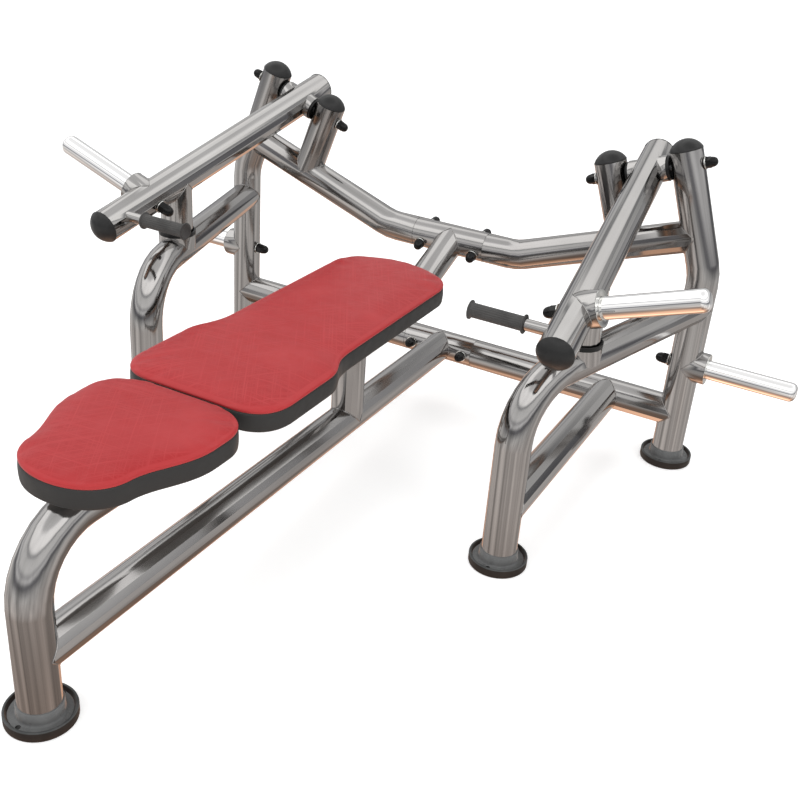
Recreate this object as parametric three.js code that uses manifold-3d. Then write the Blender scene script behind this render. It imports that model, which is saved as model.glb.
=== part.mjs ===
// Plate-loaded bench press with two independent press arms: a flat bench on a round-tube
// spine, a pair of side frames joined to it by two bolted crossbeams, and a lever arm on
// each side that pivots at the back and rests on a rubber bumper.
// Millimetres, +Z up, +X to the right of the bench, +Y towards the rear uprights.
import * as THREE from "three";
import { mergeVertices } from "three/addons/utils/BufferGeometryUtils.js";
import Module from "manifold-3d";

const wasm = await Module();
wasm.setup();

// ---- Driving dimensions -------------------------------------------------------------

// Round tube of the whole frame. The bore is eight-sided and leaves the weight of a 3 mm wall.
const TUBE_RADIUS = 38;
const BORE_RADIUS = 36.6;
const TUBE_SIDES = 16;
const BORE_SIDES = 8;
const PLUG_RADIUS = 33;
const BEND_RADIUS = 130;
const BEND_STEP = THREE.MathUtils.degToRad(11.3);
const GAP = 0.3; // between pieces that touch

// Plan: the front leg stands at y = 0 and the rear frame at REAR_Y.
const REAR_Y = 1498;
const SIDE_LEG_X = 473;
const SIDE_LEG_Y = 844;
const UPRIGHT_X = 652;
const CENTRE_POST_Y = 990;

// Heights of the tube axes above the floor.
const FLOOR_RAIL_Z = 134;
const BENCH_RAIL_Z = 360;
const SIDE_RAIL_Z = 420;
const CROSSBEAM_Z = 435.5;

// The bench spine climbs to the upper crossbeam behind the back pad.
const RISE_Y = 1312;

// The press pivot leans: its axis rises outwards, and uprights and posts stand square to it.
const LEAN = THREE.MathUtils.degToRad(19.3);
const PIVOT = new THREE.Vector3(481.5, REAR_Y, 713.5);
const POST_SPACING = 180; // upright axis to inner post axis, along the pivot axis
const PIVOT_BELOW_TOP = 35;
const KINK_BEND_RADIUS = 150;

// Press arm, measured along its axis from the pivot.
const ARM_DROP = THREE.MathUtils.degToRad(15.4);
const ARM_FRONT = 724;
const ARM_REAR = -86;
const HORN_AT = 580;
const STOP_AT = 486.5;

// Plate horns and their collars.
const HORN_RADIUS = 23;
const HORN_TIP_ROUND = 15;
const HORN_STUD_RADIUS = 9;
const ARM_COLLAR_END = 50;
const ARM_HORN_TIP = 260;
const STORAGE_Z = 267;
const STORAGE_COLLAR_X = 707;
const STORAGE_TIP_X = 920;

// Pivot hardware.
const HUB_RADIUS = 30;
const HUB_HALF = 45;
const HUB_BORE = 20.5;
const BUSH_RADIUS = 19.5;
const BUSH_BORE = 10.6;
const BUSH_FLANGE_RADIUS = 28;
const BUSH_FACE = 51.3;
const BUSH_DEPTH = 26;
const SHAFT_RADIUS = 10;

// Hand grips.
const GRIP_Y = 842;
const GRIP_Z = 554;
const GRIP_START_X = 464;
const GRIP_LENGTH = 117;
const GRIP_RADIUS = 14.8;
const GRIP_FLANGE_RADIUS = 19.3;
const GRIP_END_WALL = 4.5;
const BAR_RADIUS = 12;

// Rubber bumpers under the arms, each on a steel seat that is welded over the side rail.
const BUMPER_RADIUS = 45;
const BUMPER_RIM_Z = 470;
const BUMPER_FLOOR_Z = 465;
const BUMPER_CUP_RADIUS = 41.5;
const SEAT_RADIUS = 44.5;
const SEAT_TOP_Z = 460.5;
const SEAT_LOW_Z = 426;

// Feet and end caps.
const FOOT_RADIUS = 63;
const FOOT_RIM_Z = 20;
const FOOT_SEAT_Z = 8;
const CAP_DOME = 25;
const FLUSH_CAP = 5;
const CAP_STEM = 12;

// Bolted joints of the crossbeams.
const SEAM_X = 100;
const JOINT_BOLT_X = 75;
const SPIGOT_START_X = 45;
const SPIGOT_END_X = 140;
const JOINT_BOLT_RADIUS = 6;
const UPPER_BOLT_TILT = THREE.MathUtils.degToRad(24); // front end down, rear end up

// Upholstery.
const PLATE_Z = 398.4;
const PLATE_THICK = 4.9;
const PAD_BOTTOM_Z = 403.6;
const PAD_TOP_Z = 458;
const BOARD_THICK = 12;
const BOARD_INSET = 8;

// ---- Solids -------------------------------------------------------------------------

/** A manifold-3d solid from a closed three.js geometry. */
function solid(geometry) {
  const bare = geometry.clone();
  bare.deleteAttribute("normal");
  bare.deleteAttribute("uv");
  const merged = mergeVertices(bare, 1e-4);
  return new wasm.Manifold(
    new wasm.Mesh({
      numProp: 3,
      vertProperties: new Float32Array(merged.attributes.position.array),
      triVerts: new Uint32Array(merged.index.array),
    }),
  );
}

/** The three.js geometry of a manifold-3d solid. */
function geometryOf(made) {
  const mesh = made.getMesh();
  return new THREE.BufferGeometry()
    .setAttribute("position", new THREE.BufferAttribute(mesh.vertProperties, 3))
    .setIndex(new THREE.BufferAttribute(mesh.triVerts, 1));
}

function polygon(radius, sides) {
  return Array.from({ length: sides }, (_, i) => {
    const angle = (2 * Math.PI * i) / sides;
    return new THREE.Vector2(radius * Math.cos(angle), radius * Math.sin(angle));
  });
}

/** Straight runs between corners, each corner rounded by a bend, with a station only where the
 * direction changes. */
class BentPath extends THREE.Curve {
  constructor(corners, bend) {
    super();
    this.stations = [];
    const first = corners[1].clone().sub(corners[0]).normalize();
    this.stations.push({ point: corners[0], tangent: first });
    for (let i = 1; i < corners.length - 1; i++) this.round(corners, i, bend);
    const last = corners.at(-1).clone().sub(corners.at(-2)).normalize();
    this.stations.push({ point: corners.at(-1), tangent: last });
  }

  round(corners, i, bend) {
    const into = corners[i].clone().sub(corners[i - 1]).normalize();
    const out = corners[i + 1].clone().sub(corners[i]).normalize();
    const angle = into.angleTo(out);
    const side = out.clone().addScaledVector(into, -Math.cos(angle)).normalize();
    const start = corners[i].clone().addScaledVector(into, -bend * Math.tan(angle / 2));
    const steps = Math.ceil(angle / BEND_STEP);
    for (let k = 0; k <= steps; k++) {
      const turned = (angle * k) / steps;
      const point = start.clone();
      point.addScaledVector(into, bend * Math.sin(turned));
      point.addScaledVector(side, bend * (1 - Math.cos(turned)));
      const tangent = into.clone().multiplyScalar(Math.cos(turned));
      tangent.addScaledVector(side, Math.sin(turned));
      this.stations.push({ point, tangent });
    }
  }

  get steps() {
    return this.stations.length - 1;
  }

  at(u) {
    return this.stations[Math.round(u * this.steps)];
  }

  getPoint(t, target = new THREE.Vector3()) {
    return target.copy(this.at(t).point);
  }

  getPointAt(u, target = new THREE.Vector3()) {
    return target.copy(this.at(u).point);
  }

  getTangentAt(u, target = new THREE.Vector3()) {
    return target.copy(this.at(u).tangent);
  }
}

/** A bar along corners, with a bore through it unless bore is 0. */
function swept(corners, bend, radius, bore, sides = TUBE_SIDES) {
  const section = new THREE.Shape(polygon(radius, sides));
  if (bore > 0) section.holes.push(new THREE.Path(polygon(bore, BORE_SIDES)));
  const path = new BentPath(corners, bend);
  const settings = { steps: path.steps, extrudePath: path, bevelEnabled: false };
  return solid(new THREE.ExtrudeGeometry(section, settings));
}

const tube = (corners, bend = BEND_RADIUS) => swept(corners, bend, TUBE_RADIUS, BORE_RADIUS);

/** The room that a tube takes from its neighbours, with the gap. */
const roomOf = (corners, bend = BEND_RADIUS) => swept(corners, bend, TUBE_RADIUS + GAP, 0);

const rod = (from, to, radius, sides) => swept([from, to], 1, radius, 0, sides);

const boreOf = (from, to) => swept([from, to], 1, BORE_RADIUS, 0, BORE_SIDES);

const cut = (piece, ...tools) => tools.reduce((left, tool) => left.subtract(tool), piece);

const join = (...pieces) => pieces.reduce((made, piece) => made.add(piece));

const at = (x, y, z) => new THREE.Vector3(x, y, z);

const along = (origin, direction, distance) =>
  origin.clone().addScaledVector(direction, distance);

// ---- Materials and meshes -----------------------------------------------------------

const finish = (color, roughness, metalness) => ({ color, roughness, metalness });

const FINISHES = {
  frame: finish(0x8a8683, 0.28, 0.85),
  arm: finish(0x96928e, 0.26, 0.85),
  chrome: finish(0xe6e4e2, 0.08, 1),
  steel: finish(0x9a9a9c, 0.4, 0.9),
  rubber: finish(0x2c2b2b, 0.7, 0),
  plastic: finish(0x1f1f20, 0.35, 0),
  grip: finish(0x474645, 0.75, 0),
  nylon: finish(0x141414, 0.5, 0),
  board: finish(0xa98a5e, 0.8, 0),
  vinyl: finish(0xb23a3a, 0.45, 0),
};

function mesh(name, made, look) {
  const geometry = made instanceof THREE.BufferGeometry ? made : geometryOf(made);
  const material = new THREE.MeshStandardMaterial(FINISHES[look]);
  const piece = new THREE.Mesh(geometry, material);
  piece.name = name;
  return piece;
}

/** A turned piece: its profile is pairs of radius and distance along the axis. */
function turned(name, profile, sides, look, origin, direction) {
  const points = profile.map(([radius, height]) => new THREE.Vector2(radius, height));
  const piece = mesh(name, new THREE.LatheGeometry(points, sides), look);
  piece.position.copy(origin);
  piece.quaternion.setFromUnitVectors(at(0, 1, 0), direction);
  return piece;
}

const UP = at(0, 0, 1);
const RIGHT = at(1, 0, 0);

// ---- Pivot directions on the right-hand side ----------------------------------------

const OUT = at(Math.cos(LEAN), 0, Math.sin(LEAN)); // along the pivot axis, outwards
const RISE = at(-Math.sin(LEAN), 0, Math.cos(LEAN)); // along the leaning posts, upwards
const ARM = along(
  at(0, -Math.cos(ARM_DROP), 0), RISE, -Math.sin(ARM_DROP),
); // along the arm, forwards
const UPRIGHT_TOP = along(along(PIVOT, OUT, POST_SPACING / 2), RISE, PIVOT_BELOW_TOP);
const POST_TOP = along(along(PIVOT, OUT, -POST_SPACING / 2), RISE, PIVOT_BELOW_TOP);

// ---- Tube routes --------------------------------------------------------------------

const TUBE_FOOT_Z = FOOT_SEAT_Z + GAP;
const KINK_Z = UPRIGHT_TOP.z - (UPRIGHT_X - UPRIGHT_TOP.x) / Math.tan(LEAN);
const BEAM_KINK_X = 183;

const ROUTES = {
  spine: [
    at(0, 0, TUBE_FOOT_Z), at(0, 0, BENCH_RAIL_Z),
    at(0, RISE_Y, BENCH_RAIL_Z), at(0, REAR_Y, CROSSBEAM_Z),
  ],
  sideLeg: [
    at(SIDE_LEG_X, SIDE_LEG_Y, TUBE_FOOT_Z), at(SIDE_LEG_X, SIDE_LEG_Y, SIDE_RAIL_Z),
    at(UPRIGHT_X, REAR_Y, SIDE_RAIL_Z),
  ],
  upright: [at(UPRIGHT_X, REAR_Y, TUBE_FOOT_Z), at(UPRIGHT_X, REAR_Y, KINK_Z), UPRIGHT_TOP],
  lowerBeam: [at(SEAM_X, REAR_Y, FLOOR_RAIL_Z), at(UPRIGHT_X, REAR_Y, FLOOR_RAIL_Z)],
  upperBeam: [
    at(SEAM_X, REAR_Y, CROSSBEAM_Z), at(BEAM_KINK_X, REAR_Y, CROSSBEAM_Z),
    along(at(BEAM_KINK_X, REAR_Y, CROSSBEAM_Z), OUT, 450),
  ],
};

/** Where the leaning part of the upper crossbeam meets the axis of a leaning post. */
function beamUnder(top) {
  const start = at(BEAM_KINK_X, REAR_Y, CROSSBEAM_Z);
  return along(start, OUT, top.clone().sub(start).dot(OUT));
}

// ---- Centre frame -------------------------------------------------------------------

function benchSpine() {
  const beam = roomOf([at(-SEAM_X, REAR_Y, CROSSBEAM_Z), at(SEAM_X, REAR_Y, CROSSBEAM_Z)]);
  const spine = tube(ROUTES.spine.slice(0, 2).concat(ROUTES.spine[2], shortOfRear()));
  return mesh("bench_spine", cut(spine, beam), "frame");
}

/** The end of the spine, a little short of the crossbeam's axis. */
function shortOfRear() {
  const back = ROUTES.spine[3].clone().sub(ROUTES.spine[2]).normalize();
  return along(ROUTES.spine[3], back, -10);
}

function floorRail() {
  const made = tube([at(0, 6, FLOOR_RAIL_Z), at(0, REAR_Y - 6, FLOOR_RAIL_Z)]);
  const beam = roomOf([at(-SEAM_X, REAR_Y, FLOOR_RAIL_Z), at(SEAM_X, REAR_Y, FLOOR_RAIL_Z)]);
  return mesh("floor_rail", cut(made, roomOf(ROUTES.spine.slice(0, 2)), beam), "frame");
}

function centrePost() {
  const made = tube([at(0, CENTRE_POST_Y, FLOOR_RAIL_Z + 8), at(0, CENTRE_POST_Y, BENCH_RAIL_Z - 8)]);
  const floor = roomOf([at(0, 900, FLOOR_RAIL_Z), at(0, 1200, FLOOR_RAIL_Z)]);
  const bench = roomOf([at(0, 900, BENCH_RAIL_Z), at(0, 1200, BENCH_RAIL_Z)]);
  return mesh("centre_post", cut(made, floor, bench), "frame");
}

const boltAxis = (tilt) => at(0, Math.cos(tilt), Math.sin(tilt));

/** The welded middle of a crossbeam, drilled for the two bolts that hold the side frames. */
function crossbeamCentre(name, z, tilt) {
  const made = tube([at(-SEAM_X + GAP, REAR_Y, z), at(SEAM_X - GAP, REAR_Y, z)]);
  const holes = [-1, 1].map((side) => jointHole(side * JOINT_BOLT_X, z, tilt));
  return mesh(name, cut(made, ...holes), "frame");
}

function jointHole(x, z, tilt) {
  const middle = at(x, REAR_Y, z);
  const axis = boltAxis(tilt);
  return rod(along(middle, axis, -60), along(middle, axis, 60), JOINT_BOLT_RADIUS + 0.6, 8);
}

/** The sleeve that is welded into an outer crossbeam and slides into the middle one. */
function spigot(z) {
  const end = at(SPIGOT_END_X, REAR_Y, z);
  const start = at(SPIGOT_START_X, REAR_Y, z);
  const sleeve = rod(start, end, PLUG_RADIUS, 12);
  const weld = rod(at(SPIGOT_END_X - 30, REAR_Y, z), end, TUBE_RADIUS - 1, 12);
  return cut(join(sleeve, weld), rod(start, end, PLUG_RADIUS - 4, 8));
}

/** A through bolt with a washer and a domed cap nut at each end. */
function jointBolt(name, x, z, tilt) {
  const face = TUBE_RADIUS + GAP;
  const end = [[0, 24.5], [7, 21.5], [11.5, 14], [12.5, 2.5], [14, 2.5], [14, 0]];
  const front = end.map(([r, h]) => [r, -face - h]);
  const rear = end.map(([r, h]) => [r, face + h]).reverse();
  const profile = [...front, [JOINT_BOLT_RADIUS, -face], [JOINT_BOLT_RADIUS, face], ...rear];
  return turned(name, profile, 8, "plastic", at(x, REAR_Y, z), boltAxis(tilt));
}

function mountPlate(name, fromY, toY, halfWidth) {
  const geometry = new THREE.BoxGeometry(2 * halfWidth, toY - fromY, PLATE_THICK);
  const plate = mesh(name, geometry, "steel");
  plate.position.set(0, (fromY + toY) / 2, PLATE_Z + PLATE_THICK / 2);
  return plate;
}

// ---- Upholstery ---------------------------------------------------------------------

const CURVE_POINTS = 4;

/** Closes a right-hand outline, given from the front of the centre line to its rear. */
function mirrored(half) {
  const right = half.getPoints(CURVE_POINTS);
  const left = right.slice(1, -1).reverse();
  return new THREE.Shape([...right, ...left.map((p) => new THREE.Vector2(-p.x, p.y))]);
}

/** Seat pad: a narrow rounded nose that widens to the back. */
function seatOutline(inset) {
  const front = 51 + inset;
  const rear = 398 - inset;
  const nose = 108 - inset;
  const wide = 158 - inset;
  const half = new THREE.Path();
  half.moveTo(0, front);
  half.bezierCurveTo(58, front, nose - 6, front + 30, nose, front + 78);
  half.bezierCurveTo(nose + 4, 178, wide - 2, 214, wide, 280);
  half.lineTo(wide, rear - 80);
  half.bezierCurveTo(wide, rear - 36, wide - 30, rear - 6, wide - 86, rear);
  half.lineTo(0, rear);
  return mirrored(half);
}

/** Back pad: wide shoulders next to the seat, then a waist that runs to the rear. */
function backOutline(inset) {
  const front = 407 + inset;
  const rear = 1240 - inset;
  const wide = 174.5 - inset;
  const waist = 145 - inset;
  const half = new THREE.Path();
  half.moveTo(0, front);
  half.lineTo(wide - 80, front);
  half.bezierCurveTo(wide - 30, front + 1, wide, front + 29, wide, front + 83);
  half.lineTo(wide, 612);
  half.bezierCurveTo(wide, 668, waist + 1, 664, waist, 735);
  half.lineTo(waist, rear - 110);
  half.bezierCurveTo(waist, rear - 50, waist - 44, rear - 12, 0, rear);
  return mirrored(half);
}

function slab(outline, fromZ, toZ) {
  const settings = { depth: toZ - fromZ, bevelEnabled: false, steps: 1 };
  const geometry = new THREE.ExtrudeGeometry(outline, settings);
  return geometry.translate(0, 0, fromZ);
}

/** A plywood board and the upholstered cushion that wraps over its edges. */
function pad(name, outline) {
  const boardTop = PAD_BOTTOM_Z + BOARD_THICK;
  const cover = solid(slab(outline(0), PAD_BOTTOM_Z, PAD_TOP_Z));
  const pocket = solid(slab(outline(BOARD_INSET - GAP), PAD_BOTTOM_Z - 1, boardTop + GAP));
  const board = solid(slab(outline(BOARD_INSET), PAD_BOTTOM_Z, boardTop));
  return [
    mesh(name + "_cushion", cut(cover, pocket), "vinyl"),
    mesh(name + "_board", board, "board"),
  ];
}

// ---- Side frame ---------------------------------------------------------------------

/** Rear upright with the collar for its storage horn welded on, drilled for horn and pivot. */
function rearUpright(side) {
  const low = at(UPRIGHT_X, REAR_Y, TUBE_FOOT_Z - 1);
  const collarStart = at(UPRIGHT_X, REAR_Y, STORAGE_Z);
  const collarEnd = at(STORAGE_COLLAR_X, REAR_Y, STORAGE_Z);
  const collar = cut(
    rod(collarStart, collarEnd, TUBE_RADIUS, TUBE_SIDES),
    boreOf(low, at(UPRIGHT_X, REAR_Y, KINK_Z - 60)),
  );
  const inner = at(UPRIGHT_X - 60, REAR_Y, STORAGE_Z);
  const studHole = rod(inner, at(STORAGE_COLLAR_X + 9, REAR_Y, STORAGE_Z), HORN_STUD_RADIUS + 1.1, 8);
  const made = join(tube(ROUTES.upright, KINK_BEND_RADIUS), collar);
  return mesh("rear_upright_" + side, cut(made, studHole, pivotHole()), "frame");
}

const pivotHole = () =>
  rod(along(PIVOT, OUT, -160), along(PIVOT, OUT, 160), SHAFT_RADIUS + 0.6, 12);

function innerPost(side) {
  const made = tube([along(beamUnder(POST_TOP), RISE, 8), POST_TOP]);
  const post = cut(made, roomOf(ROUTES.upperBeam), pivotHole());
  return mesh("inner_post_" + side, post, "frame");
}

function upperBeam(side) {
  const end = along(beamUnder(UPRIGHT_TOP), OUT, -8);
  const made = tube([...ROUTES.upperBeam.slice(0, 2), end]);
  const hole = jointHole(JOINT_BOLT_X, CROSSBEAM_Z, UPPER_BOLT_TILT);
  const beam = join(cut(made, roomOf(ROUTES.upright, KINK_BEND_RADIUS)), spigot(CROSSBEAM_Z));
  return mesh("upper_crossbeam_" + side, cut(beam, hole), "frame");
}

function lowerBeam(side) {
  const end = at(UPRIGHT_X - 6, REAR_Y, FLOOR_RAIL_Z);
  const made = cut(tube([ROUTES.lowerBeam[0], end]), roomOf(ROUTES.upright, KINK_BEND_RADIUS));
  const hole = jointHole(JOINT_BOLT_X, FLOOR_RAIL_Z, 0);
  return mesh("lower_crossbeam_" + side, cut(join(made, spigot(FLOOR_RAIL_Z)), hole), "frame");
}

/** Side leg and side rail in one bent tube, with the seat of the bumper welded over the rail. */
function sideLeg(side) {
  const [foot, corner, rear] = ROUTES.sideLeg;
  const back = rear.clone().sub(corner).normalize();
  const made = tube([foot, corner, along(rear, back, -6)]);
  const seat = cut(
    stopDisc(SEAT_RADIUS, SEAT_LOW_Z, SEAT_TOP_Z),
    rod(along(corner, back, 20), rear, TUBE_RADIUS - 1, TUBE_SIDES),
  );
  const leg = cut(join(made, seat), roomOf(ROUTES.upright, KINK_BEND_RADIUS));
  return mesh("side_leg_" + side, leg, "frame");
}

function sideFloorRail(side) {
  const from = at(SIDE_LEG_X, SIDE_LEG_Y + 6, FLOOR_RAIL_Z);
  const made = tube([from, at(SIDE_LEG_X, REAR_Y - 6, FLOOR_RAIL_Z)]);
  const rail = cut(made, roomOf(ROUTES.sideLeg.slice(0, 2)), roomOf(ROUTES.lowerBeam));
  return mesh("side_floor_rail_" + side, rail, "frame");
}

/** An upright disc round the axis of the arm's stop. */
function stopDisc(radius, fromZ, toZ) {
  const stop = stopAxis();
  return rod(at(stop.x, stop.y, fromZ), at(stop.x, stop.y, toZ), radius, TUBE_SIDES);
}

/** Shallow rubber cup that takes the stop of the resting arm. */
function bumper(side) {
  const cup = cut(
    stopDisc(BUMPER_RADIUS, SEAT_TOP_Z + GAP, BUMPER_RIM_Z),
    stopDisc(BUMPER_CUP_RADIUS, BUMPER_FLOOR_Z, BUMPER_RIM_Z + 1),
  );
  return mesh("rubber_bumper_" + side, cup, "rubber");
}

/** A cup-shaped rubber foot with a raised rim and a collar round the end of the tube. */
function foot(name, x, y) {
  const hold = TUBE_RADIUS + 0.8;
  const profile = [
    [0, 0], [FOOT_RADIUS, 0], [FOOT_RADIUS, FOOT_RIM_Z], [57.5, FOOT_RIM_Z], [57.5, 12],
    [46, 12], [44.5, 27], [hold, 27], [hold, FOOT_SEAT_Z], [0, FOOT_SEAT_Z],
  ];
  return turned(name, profile, TUBE_SIDES, "rubber", at(x, y, 0), UP);
}

/** A plug for the open end of a frame tube, with a dome of the given height over the rim. */
function endCap(name, origin, direction, dome = CAP_DOME) {
  const crown = [[1, 0.22], [0.93, 0.55], [0.72, 0.82], [0.38, 0.96]];
  const profile = [
    [0, -CAP_STEM], [PLUG_RADIUS, -CAP_STEM], [PLUG_RADIUS, GAP], [TUBE_RADIUS, GAP],
    ...crown.map(([r, h]) => [TUBE_RADIUS * r, dome * h]), [0, dome],
  ];
  return turned(name, profile, 16, "plastic", origin, direction);
}

/** A chrome horn for weight plates, turned in one piece with the stud that holds it. */
function plateHorn(name, base, direction, length, studLength) {
  const profile = [
    [0, -studLength], [HORN_STUD_RADIUS, -studLength], [HORN_STUD_RADIUS, GAP],
    [HORN_RADIUS, GAP], [HORN_RADIUS, length - HORN_TIP_ROUND],
    [HORN_RADIUS - 4.4, length - 4.4], [HORN_RADIUS - HORN_TIP_ROUND, length], [0, length],
  ];
  return turned(name, profile, TUBE_SIDES, "chrome", base, direction);
}

/** A domed cap nut with its washer, screwed on a stud. */
function capNut(name, origin, direction) {
  const bore = HORN_STUD_RADIUS + 0.8;
  const profile = [
    [0, 17], [bore, 17], [bore, 0], [14.5, 0], [14.5, 3], [13.5, 3],
    [13, 19], [10, 30], [0, 35.5],
  ];
  return turned(name, profile, 12, "plastic", origin, direction);
}

/** Pivot shaft with a washer and a domed nut against the outside of each post. */
function pivotShaft(side) {
  const face = POST_SPACING / 2 + TUBE_RADIUS + GAP;
  const end = [[0, 27], [7, 24], [11, 14], [11.5, 2.5], [12.8, 2.5], [12.8, 0]];
  const inner = end.map(([r, h]) => [r, -face - h]);
  const outer = end.map(([r, h]) => [r, face + h]).reverse();
  const profile = [...inner, [SHAFT_RADIUS, -face], [SHAFT_RADIUS, face], ...outer];
  return turned("pivot_shaft_" + side, profile, 12, "steel", PIVOT, OUT);
}

// ---- Press arm ----------------------------------------------------------------------

const armAt = (distance) => along(PIVOT, ARM, distance);

const stopAxis = () => armAt(STOP_AT);

/** The welded arm: tube, pivot hub, horn collar, stop and grip bar. */
function pressArm(side) {
  const stop = stopAxis();
  const stopFoot = at(stop.x, stop.y, BUMPER_FLOOR_Z + GAP);
  const grip = at(armAt((REAR_Y - GRIP_Y) / Math.cos(ARM_DROP)).x, GRIP_Y, GRIP_Z);
  const gripEnd = at(GRIP_START_X - GRIP_LENGTH + GRIP_END_WALL + GAP, GRIP_Y, GRIP_Z);
  const horn = armAt(HORN_AT);
  const hub = (radius, half, sides) =>
    rod(along(PIVOT, OUT, -half), along(PIVOT, OUT, half), radius, sides);
  const body = join(
    rod(armAt(ARM_REAR), armAt(ARM_FRONT), TUBE_RADIUS, TUBE_SIDES),
    rod(horn, along(horn, OUT, ARM_COLLAR_END), TUBE_RADIUS, TUBE_SIDES),
    rod(stop, stopFoot, TUBE_RADIUS, TUBE_SIDES),
    rod(grip, gripEnd, BAR_RADIUS, 12),
  );
  const hollow = cut(
    body,
    boreOf(armAt(ARM_REAR - 1), armAt(ARM_FRONT + 1)),
    boreOf(stop, at(stop.x, stop.y, stopFoot.z - 1)),
    rod(along(horn, OUT, -60), along(horn, OUT, 60), HORN_STUD_RADIUS + 1.1, 8),
  );
  const made = cut(join(hollow, hub(HUB_RADIUS, HUB_HALF, 16)), hub(HUB_BORE, HUB_HALF + 1, 12));
  return mesh("press_arm_" + side, made, "arm");
}

/** A flanged bush in one end of the hub; direction points out of the hub. */
function bush(name, direction) {
  const profile = [
    [BUSH_BORE, HUB_HALF - BUSH_DEPTH], [BUSH_RADIUS, HUB_HALF - BUSH_DEPTH],
    [BUSH_RADIUS, HUB_HALF + GAP], [BUSH_FLANGE_RADIUS, HUB_HALF + GAP],
    [BUSH_FLANGE_RADIUS, BUSH_FACE], [BUSH_BORE, BUSH_FACE],
    [BUSH_BORE, HUB_HALF - BUSH_DEPTH],
  ];
  return turned(name, profile, 12, "nylon", PIVOT, direction);
}

/** Rubber sleeve with a flange at each end, closed at the tip. */
function handGrip(side) {
  const bore = BAR_RADIUS + 0.8;
  const depth = GRIP_LENGTH - GRIP_END_WALL;
  const profile = [
    [0, depth], [bore, depth], [bore, 0], [GRIP_FLANGE_RADIUS, 0], [GRIP_FLANGE_RADIUS, 4],
    [GRIP_RADIUS, 6], [GRIP_RADIUS, GRIP_LENGTH - 7],
    [GRIP_FLANGE_RADIUS, GRIP_LENGTH - 5], [GRIP_FLANGE_RADIUS, GRIP_LENGTH], [0, GRIP_LENGTH],
  ];
  const start = at(GRIP_START_X, GRIP_Y, GRIP_Z);
  return turned("hand_grip_" + side, profile, 12, "grip", start, at(-1, 0, 0));
}

// ---- Assembly -----------------------------------------------------------------------

function fixedSide(side) {
  const group = new THREE.Group();
  const storage = at(STORAGE_COLLAR_X, REAR_Y, STORAGE_Z);
  const storageStud = STORAGE_COLLAR_X - UPRIGHT_X + TUBE_RADIUS + 14;
  const storageNut = at(UPRIGHT_X - TUBE_RADIUS - GAP, REAR_Y, STORAGE_Z);
  const storageLength = STORAGE_TIP_X - STORAGE_COLLAR_X;
  group.add(
    rearUpright(side), innerPost(side), upperBeam(side), lowerBeam(side), sideLeg(side),
    sideFloorRail(side), bumper(side),
    foot("foot_rear_" + side, UPRIGHT_X, REAR_Y),
    foot("foot_side_" + side, SIDE_LEG_X, SIDE_LEG_Y),
    endCap("upright_cap_" + side, UPRIGHT_TOP, RISE),
    endCap("post_cap_" + side, POST_TOP, RISE),
    plateHorn("storage_horn_" + side, storage, RIGHT, storageLength, storageStud),
    capNut("storage_horn_nut_" + side, storageNut, at(-1, 0, 0)),
    pivotShaft(side),
    jointBolt("joint_bolt_upper_" + side, JOINT_BOLT_X, CROSSBEAM_Z, UPPER_BOLT_TILT),
    jointBolt("joint_bolt_lower_" + side, JOINT_BOLT_X, FLOOR_RAIL_Z, 0),
  );
  return group;
}

function movingSide(side) {
  const group = new THREE.Group();
  const inward = OUT.clone().negate();
  const horn = armAt(HORN_AT);
  const hornStud = ARM_COLLAR_END + TUBE_RADIUS + 14;
  const hornBase = along(horn, OUT, ARM_COLLAR_END);
  group.add(
    pressArm(side), handGrip(side),
    plateHorn("plate_horn_" + side, hornBase, OUT, ARM_HORN_TIP - ARM_COLLAR_END, hornStud),
    capNut("plate_horn_nut_" + side, along(horn, OUT, -TUBE_RADIUS - GAP), inward),
    bush("pivot_bush_outer_" + side, OUT),
    bush("pivot_bush_inner_" + side, inward),
    endCap("arm_front_cap_" + side, armAt(ARM_FRONT), ARM),
    endCap("arm_rear_cap_" + side, armAt(ARM_REAR), ARM.clone().negate(), FLUSH_CAP),
  );
  return group;
}

function centre() {
  const group = new THREE.Group();
  group.add(
    benchSpine(), floorRail(), centrePost(),
    crossbeamCentre("upper_crossbeam_centre", CROSSBEAM_Z, UPPER_BOLT_TILT),
    crossbeamCentre("lower_crossbeam_centre", FLOOR_RAIL_Z, 0),
    foot("foot_front", 0, 0),
    mountPlate("seat_mount_plate", 130, 340, 55),
    mountPlate("back_mount_plate", 480, 1160, 55),
    ...pad("seat", seatOutline),
    ...pad("back", backOutline),
  );
  return group;
}

/** The whole machine, stood on the floor with the middle of its outline at the origin. */
function benchPress() {
  const machine = new THREE.Group();
  machine.add(centre());
  for (const [side, mirror] of [["right", 1], ["left", -1]]) {
    const half = new THREE.Group();
    half.add(fixedSide(side), movingSide(side));
    half.scale.x = mirror;
    machine.add(half);
  }
  const box = new THREE.Box3().setFromObject(machine, true);
  machine.position.y = -(box.min.y + box.max.y) / 2;
  return machine;
}

export default benchPress();
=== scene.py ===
"""Looks of a plate-loaded bench press with two press arms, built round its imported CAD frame.

Metres, +Z up, +Y from the seat's nose to the rear uprights, right and left mirrored in X = 0.
The CAD tubes, arms, boards and bearings keep their shape and get smooth shading and a finish.
Cushions, grips, horns, feet, caps and nuts are finer pieces that stand for their CAD nodes.
"""
import math

import bmesh
import bpy
from mathutils import Matrix, Vector


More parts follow.
